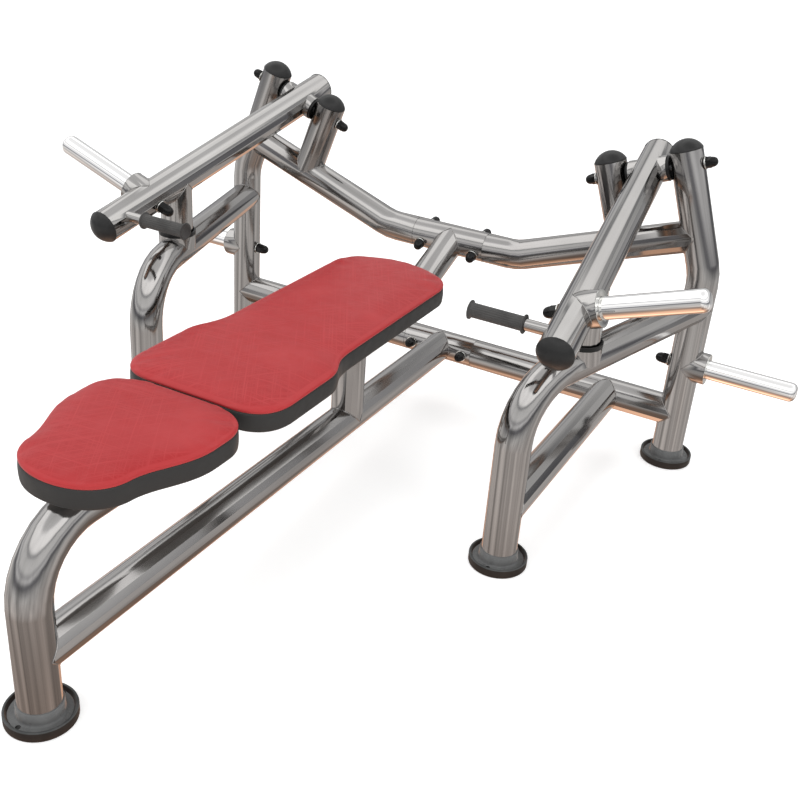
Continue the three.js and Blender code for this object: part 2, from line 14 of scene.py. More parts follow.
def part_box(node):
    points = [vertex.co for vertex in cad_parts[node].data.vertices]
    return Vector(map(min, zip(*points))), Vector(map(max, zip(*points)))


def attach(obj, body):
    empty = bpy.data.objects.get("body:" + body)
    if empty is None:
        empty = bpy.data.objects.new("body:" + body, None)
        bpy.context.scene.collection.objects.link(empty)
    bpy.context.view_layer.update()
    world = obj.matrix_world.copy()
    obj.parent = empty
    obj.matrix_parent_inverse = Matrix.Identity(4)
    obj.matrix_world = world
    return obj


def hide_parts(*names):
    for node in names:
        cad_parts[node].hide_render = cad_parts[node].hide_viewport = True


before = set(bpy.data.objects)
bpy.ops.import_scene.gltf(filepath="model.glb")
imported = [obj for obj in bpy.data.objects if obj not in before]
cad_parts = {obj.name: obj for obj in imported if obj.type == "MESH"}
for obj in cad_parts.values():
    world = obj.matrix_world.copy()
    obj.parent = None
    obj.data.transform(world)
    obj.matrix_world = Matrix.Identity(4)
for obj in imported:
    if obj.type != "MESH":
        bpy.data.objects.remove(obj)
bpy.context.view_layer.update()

MM = 0.001
FRAME, ARMS = "frame", {"right": "right_arm", "left": "left_arm"}
SIDES = {"right": 1, "left": -1}


def middle(node):
    low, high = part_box(node)
    return (low + high) / 2


# Driving dimensions, in mm, as in the CAD; y is counted from the axis of the front leg.
FRONT_LEG_Y = middle("foot_front").y / MM
REAR_Y = middle("foot_rear_right").y / MM - FRONT_LEG_Y
TUBE_RADIUS = 38
LEAN = math.radians(19.3)
ARM_DROP = math.radians(15.4)
PIVOT = Vector((481.5, REAR_Y, 713.5))
POST_SPACING = 180
PIVOT_BELOW_TOP = 35
ARM_FRONT, ARM_REAR, HORN_AT, STOP_AT = 724, -86, 580, 486.5
ARM_COLLAR_END, ARM_HORN_TIP = 50, 260
STORAGE_Z, STORAGE_COLLAR_X, STORAGE_TIP_X = 267, 707, 920
HORN_RADIUS, HORN_TIP_ROUND = 23, 15
HORN_NUT, JOINT_NUT, PIVOT_NUT = (13.6, 35), (12.4, 25), (12.4, 29)  # radius, height
CAP_DOME, REAR_CAP_DOME = 24, 4
CROSSBEAM_Z, FLOOR_RAIL_Z, BENCH_RAIL_Z, SIDE_RAIL_Z = 435.5, 134, 360, 420
CENTRE_POST_Y, SIDE_LEG_X, SIDE_LEG_Y, UPRIGHT_X = 990, 473, 844, 652
SEAM_X, JOINT_BOLT_X, UPPER_BOLT_TILT = 100, 75, math.radians(24)
BEAM_KINK_X, RISE_Y = 183, 1312
RAIL_Y, SIDE_FLOOR_RAIL_Y, BEAM_X = 600, 1200, 300  # places along the rails and the lower crossbeam
CLEAR, FAR_CLEAR = 60, 90  # along the axis of a tube, outside the tube that it meets
GAP = 0.35  # between two pieces that touch
GRIP_START = Vector((464, 842, 554))
GRIP_LENGTH, GRIP_RADIUS, GRIP_FLANGE_RADIUS = 117, 14.8, 19.3

OUT = Vector((math.cos(LEAN), 0, math.sin(LEAN)))
RISE = Vector((-math.sin(LEAN), 0, math.cos(LEAN)))
ARM = (Vector((0, -math.cos(ARM_DROP), 0)) - RISE * math.sin(ARM_DROP)).normalized()
CREST = 459.0  # height of the middle of the pads
UPRIGHT_TOP = PIVOT + OUT * (POST_SPACING / 2) + RISE * PIVOT_BELOW_TOP
POST_TOP = PIVOT - OUT * (POST_SPACING / 2) + RISE * PIVOT_BELOW_TOP
X, Y, Z = Vector((1, 0, 0)), Vector((0, 1, 0)), Vector((0, 0, 1))


def place(point):
    """A point in mm from the front leg, in the frame of the CAD in metres."""
    return Vector((point[0], point[1] + FRONT_LEG_Y, point[2])) * MM


def mirrored(vector, side):
    return Vector((vector[0] * SIDES[side], vector[1], vector[2]))


# ---- Camera, floor and light ---------------------------------------------------------

CAMERA_AT = (1103.7, -956.3, 1371.0)
CAMERA_ANGLES = (26.40, 27.85, 4.60)  # degrees to the left of +Y, down, and rolled
CAMERA_LENS, CAMERA_SENSOR = 48.55, 36


def photo_camera():
    yaw, pitch, roll = (math.radians(angle) for angle in CAMERA_ANGLES)
    ahead = Vector((-math.sin(yaw) * math.cos(pitch), math.cos(yaw) * math.cos(pitch), -math.sin(pitch)))
    level = Vector((math.cos(yaw), math.sin(yaw), 0))
    upright = level.cross(ahead)
    right = level * math.cos(roll) + upright * math.sin(roll)
    up = upright * math.cos(roll) - level * math.sin(roll)
    data = bpy.data.cameras.new("camera")
    data.lens, data.sensor_width = CAMERA_LENS, CAMERA_SENSOR
    data.clip_end = 100
    camera = bpy.data.objects.new("camera", data)
    turn = Matrix((right, up, -ahead)).transposed().to_4x4()
    camera.matrix_world = Matrix.Translation(place(CAMERA_AT)) @ turn
    bpy.context.scene.collection.objects.link(camera)
    bpy.context.scene.camera = camera


def area_light(name, where, towards, size, power):
    data = bpy.data.lights.new(name, "AREA")
    data.shape = "RECTANGLE"
    data.size, data.size_y = size
    data.energy = power
    light = bpy.data.objects.new(name, data)
    light.location = where
    light.rotation_euler = (Vector(towards) - Vector(where)).to_track_quat("-Z", "Y").to_euler()
    light.visible_glossy = False
    bpy.context.scene.collection.objects.link(light)


SKY = (  # elevation in degrees, brightness of what the metal reflects there
    (-90, (1.55, 0.92, 0.62)), (-74, (1.35, 0.80, 0.53)), (-62, (0.74, 0.44, 0.30)),
    (-50, (0.52, 0.36, 0.28)), (-40, (0.60, 0.51, 0.46)), (-30, (0.95, 0.88, 0.84)),
    (-12, (0.85, 0.84, 0.83)), (-4, (0.42, 0.42, 0.43)), (-1, (0.20, 0.20, 0.22)),
    (2, (0.26, 0.26, 0.28)), (7, (1.20, 1.20, 1.21)), (12, (0.62, 0.62, 0.64)),
    (17, (1.20, 1.20, 1.20)), (30, (1.08, 1.08, 1.08)), (34, (0.38, 0.39, 0.41)),
    (39, (1.85, 1.84, 1.83)), (57, (1.85, 1.85, 1.85)), (63, (1.08, 1.08, 1.09)),
    (90, (0.92, 0.92, 0.92)),
)
GLOW_AT, GLOW_COLOUR = (-0.37, 0.75, -0.55), (1.40, 0.82, 0.55)  # warm light far off, low down
GLOW_STARTS, GLOW_FULL = 0.90, 0.98  # cosines of the angle from its middle
STREAKS = ((2.4, 0.44), (11.0, 0.14))  # fineness and strength of bright and dark patches all round
STREAK_FLATNESS = 0.30  # patches are this much less varied up and down than round about
STREAKS_HIGH_UP = 0.18  # share of their strength that is left in the upper sky
REAR_DIMNESS = 0.66  # brightness of the studio towards +Y, beside 1 on the other sides


class Studio:
    """World whose bright plain look is for the camera and the shading, and whose streaked
    sky is only what shiny surfaces reflect."""

    def __init__(self):
        world = bpy.data.worlds.new("studio")
        bpy.context.scene.world = world
        world.use_nodes = True
        self.nodes, self.links = world.node_tree.nodes, world.node_tree.links
        self.nodes.clear()
        self.direction = self.nodes.new("ShaderNodeTexCoord").outputs["Generated"]
        path = self.nodes.new("ShaderNodeLightPath")
        lit = self.mixed(path.outputs["Is Glossy Ray"], self.plain(0.80), self.sky())
        seen = self.mixed(path.outputs["Is Camera Ray"], lit, self.plain(1.0))
        out = self.nodes.new("ShaderNodeOutputWorld")
        self.links.new(seen, out.inputs["Surface"])

    def plain(self, brightness):
        node = self.nodes.new("ShaderNodeBackground")
        node.inputs["Color"].default_value = (brightness, brightness, brightness, 1)
        return node.outputs[0]

    def mixed(self, share, first, second):
        node = self.nodes.new("ShaderNodeMixShader")
        self.links.new(share, node.inputs["Fac"])
        self.links.new(first, node.inputs[1])
        self.links.new(second, node.inputs[2])
        return node.outputs[0]

    def maths(self, operation, first, second=None):
        node = self.nodes.new("ShaderNodeMath")
        node.operation = operation
        self.links.new(first, node.inputs[0])
        if second:
            self.links.new(second, node.inputs[1])
        return node.outputs[0]

    def span(self, value, from_low, from_high, low=0.0, high=1.0):
        node = self.nodes.new("ShaderNodeMapRange")
        node.inputs["From Min"].default_value = from_low
        node.inputs["From Max"].default_value = from_high
        node.inputs["To Min"].default_value = low
        node.inputs["To Max"].default_value = high
        self.links.new(value, node.inputs["Value"])
        return node.outputs["Result"]

    def component(self, axis):
        split = self.nodes.new("ShaderNodeSeparateXYZ")
        self.links.new(self.direction, split.inputs[0])
        return split.outputs[axis]

    def elevation(self):
        return self.maths("ARCSINE", self.component("Z"))

    def towards_rear(self):
        """1 all round, less towards +Y."""
        return self.span(self.component("Y"), 0.25, 0.85, 1.0, REAR_DIMNESS)

    def glowing(self, colour):
        """The colour of the sky with the warm glow mixed in where it lies."""
        nearness = self.nodes.new("ShaderNodeVectorMath")
        nearness.operation = "DOT_PRODUCT"
        nearness.inputs[1].default_value = GLOW_AT
        self.links.new(self.direction, nearness.inputs[0])
        mix = self.nodes.new("ShaderNodeMixRGB")
        mix.inputs["Color2"].default_value = (*GLOW_COLOUR, 1)
        self.links.new(self.span(nearness.outputs["Value"], GLOW_STARTS, GLOW_FULL), mix.inputs["Fac"])
        self.links.new(colour, mix.inputs["Color1"])
        return mix.outputs["Color"]

    def bands(self):
        ramp = self.nodes.new("ShaderNodeValToRGB")
        self.links.new(self.span(self.elevation(), -math.pi / 2, math.pi / 2), ramp.inputs["Fac"])
        stops = ramp.color_ramp.elements
        stops.remove(stops[1])
        for number, (degrees, colour) in enumerate(SKY):
            stop = stops.new((degrees + 90) / 180) if number else stops[0]
            stop.color = (*colour, 1)
        return ramp.outputs["Color"]

    def streak(self, size, strength):
        noise = self.nodes.new("ShaderNodeTexNoise")
        noise.inputs["Scale"].default_value = size
        noise.inputs["Detail"].default_value = 3.0
        flat = self.nodes.new("ShaderNodeMapping")
        flat.inputs["Scale"].default_value = (1, 1, STREAK_FLATNESS)
        self.links.new(self.direction, flat.inputs["Vector"])
        self.links.new(flat.outputs[0], noise.inputs["Vector"])
        return self.span(noise.outputs["Fac"], 0.32, 0.68, -strength, strength)

    def sky(self):
        coarse, fine = (self.streak(*row) for row in STREAKS)
        low_down = self.span(self.elevation(), math.radians(-8), math.radians(20), 1.0, STREAKS_HIGH_UP)
        change = self.maths("MULTIPLY", self.maths("ADD", coarse, fine), low_down)
        node = self.nodes.new("ShaderNodeBackground")
        self.links.new(self.glowing(self.bands()), node.inputs["Color"])
        streaked = self.span(change, -1, 1, 0, 2)
        self.links.new(self.maths("MULTIPLY", streaked, self.towards_rear()), node.inputs["Strength"])
        return node.outputs[0]


LIGHTS = (  # name, place, height that it is aimed at over the middle, size and power
    ("key", (-0.6, -0.4, 3.4), 0.3, (3.2, 2.4), 34), ("side_right", (3.0, -1.2, 2.2), 0.4, (0.6, 3.6), 16),
    ("side_left", (-2.8, -2.2, 1.6), 0.4, (0.6, 3.0), 12), ("front", (1.3, -3.6, 1.3), 0.4, (2.4, 0.6), 10),
    ("back", (0.4, 3.2, 2.6), 0.4, (2.6, 0.8), 16),
)


def studio():
    Studio()
    for name, spot, aim, size, power in LIGHTS:
        area_light(name, spot, (0, 0, aim), size, power)


def floor():
    mesh = bpy.data.meshes.new("floor")
    reach = 30
    corners = [(x * reach, y * reach, 0) for x, y in ((-1, -1), (1, -1), (1, 1), (-1, 1))]
    mesh.from_pydata(corners, [], [(0, 1, 2, 3)])
    ground = bpy.data.objects.new("floor", mesh)
    ground.location.z = -0.5 * MM
    bpy.context.scene.collection.objects.link(ground)
    look = Look("floor")
    look.set(Roughness=0.9, **{"Specular IOR Level": 0.1})
    look.set(**{"Emission Color": (1, 1, 1, 1), "Emission Strength": 0.46})
    look.colour(look.noise(0.8, 2), (0.86, 0.86, 0.86), (0.88, 0.88, 0.88))
    mesh.materials.append(look.material)
    ground.visible_glossy = False


# ---- Materials -----------------------------------------------------------------------

class Look:
    """A node material: a Principled shader whose colour, roughness and bump come from textures."""

    def __init__(self, name):
        self.material = bpy.data.materials.new(name)
        self.material.use_nodes = True
        self.nodes = self.material.node_tree.nodes
        self.links = self.material.node_tree.links
        self.shader = self.nodes["Principled BSDF"]
        self.place = self.nodes.new("ShaderNodeTexCoord").outputs["Object"]
        self.normal = None

    def set(self, **values):
        for socket, value in values.items():
            self.shader.inputs[socket].default_value = value

    def stretched(self, scale):
        node = self.nodes.new("ShaderNodeMapping")
        node.inputs["Scale"].default_value = scale
        self.links.new(self.place, node.inputs["Vector"])
        return node.outputs[0]

    def noise(self, scale, detail, where=None, rough=0.5):
        node = self.nodes.new("ShaderNodeTexNoise")
        node.inputs["Scale"].default_value = scale
        node.inputs["Detail"].default_value = detail
        node.inputs["Roughness"].default_value = rough
        self.links.new(where or self.place, node.inputs["Vector"])
        return node.outputs["Fac"]

    def scratches(self, degrees, fineness):
        """Long hairlines at an angle to the length of the bench, brighter than 0.5 in places."""
        turn = self.nodes.new("ShaderNodeMapping")
        turn.inputs["Rotation"].default_value = (0, 0, math.radians(degrees))
        self.links.new(self.place, turn.inputs["Vector"])
        thin = self.nodes.new("ShaderNodeMapping")
        thin.inputs["Scale"].default_value = (fineness, 5, fineness / 6)
        self.links.new(turn.outputs[0], thin.inputs["Vector"])
        return self.noise(1, 2, thin.outputs[0], 0.4)

    def rim_highlight(self):
        """Painted highlight: above 0.5 below the upper edge of a pad and 0 at its crest, so the cover is
        painted lighter round its rim.
        """
        split = self.nodes.new("ShaderNodeSeparateXYZ")
        self.links.new(self.place, split.inputs[0])
        return self.ramp(split.outputs["Z"], 0.72, 0.0, (CREST - 7) * MM, (CREST - 1.5) * MM)

    def most(self, *values):
        """The largest of the values at each point."""
        largest = values[0]
        for value in values[1:]:
            node = self.nodes.new("ShaderNodeMath")
            node.operation = "MAXIMUM"
            self.links.new(largest, node.inputs[0])
            self.links.new(value, node.inputs[1])
            largest = node.outputs[0]
        return largest

    def cells(self, scale):
        node = self.nodes.new("ShaderNodeTexVoronoi")
        node.inputs["Scale"].default_value = scale
        self.links.new(self.place, node.inputs["Vector"])
        return node.outputs["Distance"]

    def ramp(self, value, low, high, start=0.3, stop=0.7):
        node = self.nodes.new("ShaderNodeMapRange")
        node.inputs["From Min"].default_value = start
        node.inputs["From Max"].default_value = stop
        node.inputs["To Min"].default_value = low
        node.inputs["To Max"].default_value = high
        self.links.new(value, node.inputs["Value"])
        return node.outputs["Result"]

    def colour(self, value, low, high, start=0.3, stop=0.7):
        node = self.nodes.new("ShaderNodeValToRGB")
        first, last = node.color_ramp.elements
        first.position, last.position = start, stop
        first.color, last.color = (*low, 1), (*high, 1)
        self.links.new(value, node.inputs["Fac"])
        self.links.new(node.outputs["Color"], self.shader.inputs["Base Color"])

    def roughness(self, value, low, high):
        self.links.new(self.ramp(value, low, high), self.shader.inputs["Roughness"])

    def bump(self, height, distance, strength=1.0):
        node = self.nodes.new("ShaderNodeBump")
        node.inputs["Strength"].default_value = strength
        node.inputs["Distance"].default_value = distance
        self.links.new(height, node.inputs["Height"])
        if self.normal:
            self.links.new(self.normal, node.inputs["Normal"])
        self.normal = node.outputs["Normal"]
        self.links.new(self.normal, self.shader.inputs["Normal"])


def grey(value):
    return (value, value, value)


def metal(name, low, high, rough):
    """Polished metal: faint clouds in its tone, faint smears in its polish, a hair of bump."""
    look = Look(name)
    look.set(Metallic=1.0)
    look.colour(look.noise(5, 3), low, high)
    look.roughness(look.noise(3, 4), *rough)
    look.bump(look.noise(420, 2), 0.00001, 0.12)
    return look.material


def moulded(name, low, high, rough, grain, depth):
    """Plastic, rubber or paint: clouds in its tone and polish, and a fine grain of the given depth."""
    look = Look(name)
    look.set(**{"Specular IOR Level": 0.22})
    look.colour(look.noise(35, 4), low, high)
    look.roughness(look.noise(60, 4), *rough)
    look.bump(look.noise(grain, 3), depth, 0.5)
    return look.material


def vinyl(name, low, high, rough, gloss):
    """Coated fabric: leather grain, soft wear, fine scratches that cross at a slant, and a painted
    highlight that lightens the cover round the rim of the pad.
    """
    look = Look(name)
    look.set(**{"Specular IOR Level": gloss})
    # Real wear and scratches lighten the colour, and so does a painted highlight round the rim of the pad.
    wear_and_rim_highlight = look.most(look.noise(7, 5), look.scratches(38, 300), look.scratches(-31, 380),
                     look.scratches(84, 260), look.rim_highlight())
    look.colour(wear_and_rim_highlight, low, high, 0.47, 0.74)
    look.roughness(look.noise(40, 5), *rough)
    look.bump(look.cells(620), 0.00022, 0.35)
    look.bump(look.noise(300, 4), 0.00015, 0.3)
    look.bump(look.noise(11, 3), 0.0012, 0.3)
    return look.material


def painted_board():
    """Plywood under dark grey paint that sinks into its layers at the edges."""
    look = Look("painted_board")
    layers = look.noise(1, 3, look.stretched((3, 3, 420)))
    look.colour(layers, (0.10, 0.097, 0.094), (0.16, 0.155, 0.15), 0.35, 0.65)
    look.roughness(look.noise(30, 4), 0.5, 0.75)
    look.bump(look.noise(1, 5, look.stretched((18, 260, 260))), 0.0002, 0.5)
    return look.material


MATERIALS = {
    "tube": metal("polished_tube_steel", (0.335, 0.325, 0.318), (0.375, 0.365, 0.357), (0.10, 0.15)),
    "arm": metal("polished_arm_steel", (0.355, 0.346, 0.337), (0.395, 0.386, 0.377), (0.09, 0.13)),
    "chrome": metal("chrome", (0.84, 0.835, 0.83), (0.88, 0.875, 0.87), (0.03, 0.06)),
    "washer": metal("zinc_washer", (0.60, 0.60, 0.58), (0.70, 0.70, 0.67), (0.10, 0.18)),
    "seam": metal("butt_seam", (0.15, 0.145, 0.14), (0.20, 0.195, 0.19), (0.25, 0.35)),
    "shaft": metal("turned_steel", (0.42, 0.42, 0.43), (0.52, 0.52, 0.53), (0.18, 0.28)),
    "plate": moulded("black_paint", grey(0.010), grey(0.022), (0.35, 0.5), 500, 0.0001),
    "cap": moulded("satin_black_plastic", grey(0.017), grey(0.022), (0.28, 0.36), 700, 0.00005),
    "nut": moulded("black_nut_cover", grey(0.004), grey(0.008), (0.18, 0.26), 700, 0.00005),
    "nylon": moulded("black_bearing_plastic", grey(0.008), grey(0.014), (0.3, 0.45), 900, 0.00005),
    "rubber": moulded("black_rubber", (0.016, 0.0115, 0.0095), (0.028, 0.020, 0.016), (0.42, 0.58),
                      420, 0.00025),
    # The top of the foot dish's rim is painted a lighter grey, as a highlight.
    "rim": moulded("rubber_rim_painted_highlight", (0.050, 0.052, 0.052), (0.085, 0.087, 0.087), (0.35, 0.50),
                   420, 0.00015),
    "socket": moulded("grey_foot_socket", (0.125, 0.127, 0.127), (0.160, 0.163, 0.163), (0.24, 0.32),
                      600, 0.00006),
    "grip": moulded("grey_grip_rubber", (0.045, 0.044, 0.043), (0.066, 0.064, 0.062), (0.38, 0.52),
                    800, 0.0001),
    "red": vinyl("red_vinyl", (0.350, 0.0145, 0.0170), (0.425, 0.031, 0.034), (0.34, 0.44), 0.28),
    "black": vinyl("black_vinyl", (0.016, 0.0155, 0.015), (0.032, 0.031, 0.030), (0.40, 0.54), 0.28),
    "thread": moulded("seam_thread", (0.010, 0.009, 0.009), (0.022, 0.020, 0.020), (0.6, 0.8), 900, 0.0001),
    "board": painted_board(),
}


# ---- Meshes --------------------------------------------------------------------------

def piece(name, mesh, body, replaced=()):
    made = bpy.data.objects.new(name, mesh)
    bpy.context.scene.collection.objects.link(made)
    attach(made, body)
    if replaced:
        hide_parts(*replaced)
    return made


def round_ring(bm, sides, base, turn, height, reach):
    """Vertices round an axis from base, at a height along it; reach gives the radius at an angle."""
    made = []
    for i in range(sides):
        angle = 2 * math.pi * i / sides
        radius = reach(angle)
        local = Vector((radius * math.cos(angle), radius * math.sin(angle), height))
        made.append(bm.verts.new(place(base + turn @ local)))
    return made


def skin(bm, rings, sides, looks=None):
    """Faces between each ring and the next; a ring of one point closes to a fan."""
    for k, (low, high) in enumerate(zip(rings, rings[1:])):
        for i in range(sides):
            j = (i + 1) % sides
            corners = [low[i % len(low)], low[j % len(low)], high[j % len(high)], high[i % len(high)]]
            unique = list(dict.fromkeys(corners))
            if len(unique) > 2:
                bm.faces.new(unique).material_index = looks[k] if looks else 0


def turned(name, profile, base, direction, materials, sides=64):
    """A mesh turned round an axis. A row of the profile holds radius and height in mm and, where the
    faces that start there aren't of the first material, the number of theirs."""
    bm = bmesh.new()
    turn = direction.normalized().to_track_quat("Z", "Y").to_matrix()
    rings, looks = [], []
    for radius, height, *look in profile:
        rings.append(round_ring(bm, sides if radius > 0 else 1, base, turn, height, lambda _: radius))
        looks.append(look[0] if look else 0)
    skin(bm, rings, sides, looks)
    bmesh.ops.remove_doubles(bm, verts=bm.verts, dist=0.01 * MM)
    return finished(name, bm, materials)


def finished(name, bm, materials, sharp_degrees=32):
    bmesh.ops.recalc_face_normals(bm, faces=bm.faces)
    mesh = bpy.data.meshes.new(name)
    bm.to_mesh(mesh)
    bm.free()
    for material in materials:
        mesh.materials.append(MATERIALS[material])
    mesh.shade_smooth()
    mesh.set_sharp_from_angle(angle=math.radians(sharp_degrees))
    return mesh


def arc(centre, radius, start, stop, steps):
    """Profile points on an arc; angles in degrees from the radius towards the axis direction."""
    made = []
    for i in range(steps + 1):
        angle = math.radians(start + (stop - start) * i / steps)
        made.append((max(0.0, centre[0] + radius * math.cos(angle)), centre[1] + radius * math.sin(angle)))
    return made


# ---- Turned pieces -------------------------------------------------------------------

def end_cap(name, top, direction, body, dome=CAP_DOME):
    """Cap on the end of a tube: a plug, and part of a sphere that starts at the tube's rim."""
    plug, depth, lip = 33, 12, 1.6
    rim = TUBE_RADIUS + 0.2
    ball = (rim ** 2 + dome ** 2) / (2 * dome)
    edge = math.degrees(math.asin((ball - dome) / ball))
    crown = arc((0, dome - ball + lip), ball, edge, 90, 16)
    profile = [(plug, -depth), (plug, GAP), (rim - 0.5, GAP), (rim, 0.8), *crown[:-1], (0, dome + lip)]
    mesh = turned(name + "_dome", profile, top, direction, ["cap"])
    piece(name + "_dome", mesh, body, [name])


def plate_horn(name, base, direction, length, body):
    """Chrome horn with a round tip, and the bright ring that closes the collar round its foot."""
    r, tip = HORN_RADIUS, HORN_TIP_ROUND
    profile = [(0, GAP), (r - 1.0, GAP), (r, 1.3), (r, length * 0.5),
               *arc((r - tip, length - tip), tip, 0, 90, 10), (0, length)]
    mesh = turned(name + "_chrome", profile, base, direction, ["chrome"], 72)
    piece(name + "_chrome", mesh, body, [name])
    face = [(r + 0.4, 0.3), (TUBE_RADIUS - 0.6, 0.3), (TUBE_RADIUS - 0.1, 0.7), (TUBE_RADIUS - 0.4, 1.4),
            (r + 0.9, 1.4), (r + 0.4, 1.1), (r + 0.4, 0.3)]
    mesh = turned(name + "_end_plate", face, base, direction, ["washer"], 72)
    piece(name + "_end_plate", mesh, body)


DISH = (  # radius and height of the rubber dish, with the top of its rim painted lighter as a highlight, as a second material
    (0, 0), (60.5, 0), (62.4, 1.0), (63, 3), (63, 19.0, 1), (62.5, 20.5, 1), (61.4, 21.2, 1),
    (59.4, 21.2, 1), (58.4, 20.7), (57.8, 19.6), (56.2, 13.4), (55.2, 12.4), (40, 12.4), (40, 8), (0, 8),
)
SOCKET = (  # radius and height of the socket, from its underside up its flare to its inner wall
    (37.0, 12.6), (54.4, 12.6), (54.8, 13.2), (54.2, 14.2), *arc((46.4, 19.2), 5, 270, 180, 8),
    (40.9, 36.4), (40.5, 37.6), (39.5, 38.3), (38.3, 38.4), (37.0, 38.2), (37.0, 12.6),
)
# Screw heads in very dark black, which also paint the shade of the holes that they sit in.
SCREW_AND_HOLE_SHADE = ((0, -1), (4.6, -1), (4.6, 0.4), (4.2, 0.6), (3.6, 0.3), (0, 0.1))
SCREW_CIRCLE, SCREW_SEAT_Z, SCREW_ANGLES = 50.2, 14.2, (268, 88)


def foot(name, x, y):
    """Rubber dish with a raised rim, and in it the grey socket that flares from the tube."""
    spot = Vector((x, y, 0))
    mesh = turned(name + "_rubber", DISH, spot, Z, ["rubber", "rim"], 80)
    rubber = piece(name + "_rubber", mesh, FRAME, [name])
    mesh = turned(name + "_socket", SOCKET, spot, Z, ["socket"], 80)
    sleeve = piece(name + "_socket", mesh, FRAME)
    rubber.visible_glossy = sleeve.visible_glossy = False
    # Two black screw heads on each foot, also painted shade for their holes.
    for number, angle in enumerate(SCREW_ANGLES):
        turn = math.radians(angle)
        away = Vector((SCREW_CIRCLE * math.cos(turn), SCREW_CIRCLE * math.sin(turn), SCREW_SEAT_Z))
        label = f"{name}_screw_and_hole_shade_{number}"
        piece(label, turned(label, SCREW_AND_HOLE_SHADE, spot + away, Z, ["nut"], 24), FRAME)


def cap_nut(name, seat, direction, body, replaced, size):
    """Bright washer, then a black hexagonal nut cover that ends in a dome."""
    radius, height = size
    brim = radius + 2.4
    washer = [(0, 0.2), (brim - 0.4, 0.2), (brim, 0.7), (brim, 2.2), (brim - 0.5, 2.7), (0, 2.7)]
    mesh = turned(name + "_washer", washer, seat, direction, ["washer"], 40)
    piece(name + "_washer", mesh, body)
    sides, dome_steps = 48, 8
    edge = height * 0.5
    stations = [  # share of the radius, height, share of the hexagon in the outline
        (0.98, 2.6, 1), (1.02, 3.4, 1), (1.02, edge - 2, 1), (0.98, edge, 0.55),
    ]
    for i in range(dome_steps + 1):
        angle = math.radians(90 * i / dome_steps)
        share = 0.94 * math.cos(angle) ** 0.8 if i < dome_steps else 0.0
        up = edge + 1 + (height - edge - 1) * math.sin(angle)
        stations.append((share, up, max(0.0, 0.35 - 0.08 * i)))
    bm = bmesh.new()
    turn = direction.normalized().to_track_quat("Z", "Y").to_matrix()
    rings = []
    for share, up, flat in stations:
        def reach(angle):
            to_flat = (angle + math.pi / 6) % (math.pi / 3) - math.pi / 6
            hexagon = math.cos(math.pi / 6) / math.cos(to_flat) * 1.04
            return radius * share * (hexagon * flat + (1 - flat))

        rings.append(round_ring(bm, sides if share > 0 else 1, seat, turn, up, reach))
    bm.faces.new(rings[0][::-1])
    skin(bm, rings, sides)
    piece(name, finished(name, bm, ["nut"], 24), body, replaced)


def hand_grip(side):
    """Rubber sleeve with flutes along it, a flange at each end and a closed tip."""
    flutes, depth = 20, 0.9
    stations = [  # radius, distance from the inner end, share of the flutes' depth
        (12.4, 0, 0), (17.4, 0, 0), (GRIP_FLANGE_RADIUS, 0.8, 0), (GRIP_FLANGE_RADIUS, 2.6, 0),
        (18.2, 3.4, 0), (16.2, 4.2, 0), (15.2, 5.4, 0), (GRIP_RADIUS, 7.4, 0), (GRIP_RADIUS, 9.0, 1),
        (GRIP_RADIUS, 40, 1), (GRIP_RADIUS, 75, 1),
    ]
    tip = [(radius, GRIP_LENGTH - along, share) for radius, along, share in stations[8:0:-1]]
    stations += [*tip, (13.4, GRIP_LENGTH, 0), (12.6, GRIP_LENGTH - 0.8, 0), (0, GRIP_LENGTH - 0.8, 0)]
    name = "hand_grip_" + side
    start, inward = mirrored(GRIP_START, side), mirrored(-X, side)
    turn = inward.to_track_quat("Z", "Y").to_matrix()
    sides = flutes * 6
    bm = bmesh.new()
    rings = []
    for radius, along, share in stations:
        def reach(angle):
            return radius - share * depth * max(0.0, math.cos(flutes * angle)) ** 2

        rings.append(round_ring(bm, sides if radius > 0 else 1, start, turn, along, reach))
    skin(bm, rings, sides)
    piece(name + "_sleeve", finished(name + "_sleeve", bm, ["grip"], 50), ARMS[side], [name])


def weld_bead(name, start, direction, main_point, main_direction, body):
    """Bead where a tube, given by a point on its axis and its direction towards the other tube,
    meets the other tube. Both have the frame's radius."""
    steps, bead_radius = 72, 1.1
    along, across = direction.normalized(), main_direction.normalized()
    side_a = along.orthogonal().normalized()
    side_b = along.cross(side_a)
    flat = along - across * along.dot(across)
    points = []
    for i in range(steps):
        angle = 2 * math.pi * i / steps
        ray = start + (side_a * math.cos(angle) + side_b * math.sin(angle)) * TUBE_RADIUS
        away = (ray - main_point) - across * (ray - main_point).dot(across)
        a, b = flat.dot(flat), 2 * flat.dot(away)
        c = away.dot(away) - TUBE_RADIUS ** 2
        root = math.sqrt(max(0.0, b * b - 4 * a * c))
        points.append(place(ray + along * ((-b - root) / (2 * a))))
    curve = bpy.data.curves.new(name, "CURVE")
    curve.dimensions = "3D"
    curve.bevel_depth, curve.bevel_resolution = bead_radius * MM, 2
    spline = curve.splines.new("POLY")
    spline.points.add(len(points) - 1)
    for spot, point in zip(spline.points, points):
        spot.co = (*point, 1)
    spline.use_cyclic_u = True
    bead = bpy.data.objects.new(name, curve)
    bpy.context.scene.collection.objects.link(bead)
    mesh = bpy.data.meshes.new_from_object(bead.evaluated_get(bpy.context.evaluated_depsgraph_get()))
    bpy.data.objects.remove(bead)
    slot, look = ("frame_tube", "tube") if body == FRAME else ("arm_tube", "arm")
    mesh.name = name
    mesh.materials.clear()
    mesh.materials.append(MATERIALS[look])
    mesh.shade_smooth()
    piece(name, mesh, body)


# ---- Upholstery ----------------------------------------------------------------------

def bezier(*controls, steps=40):
    points = []
    for i in range(steps):
        t = i / steps
        row = [Vector(c) for c in controls]
        while len(row) > 1:
            row = [a.lerp(b, t) for a, b in zip(row, row[1:])]
        points.append(row[0])
    return points


def line(start, end, steps=40):
    return [Vector(start).lerp(Vector(end), i / steps) for i in range(steps)]


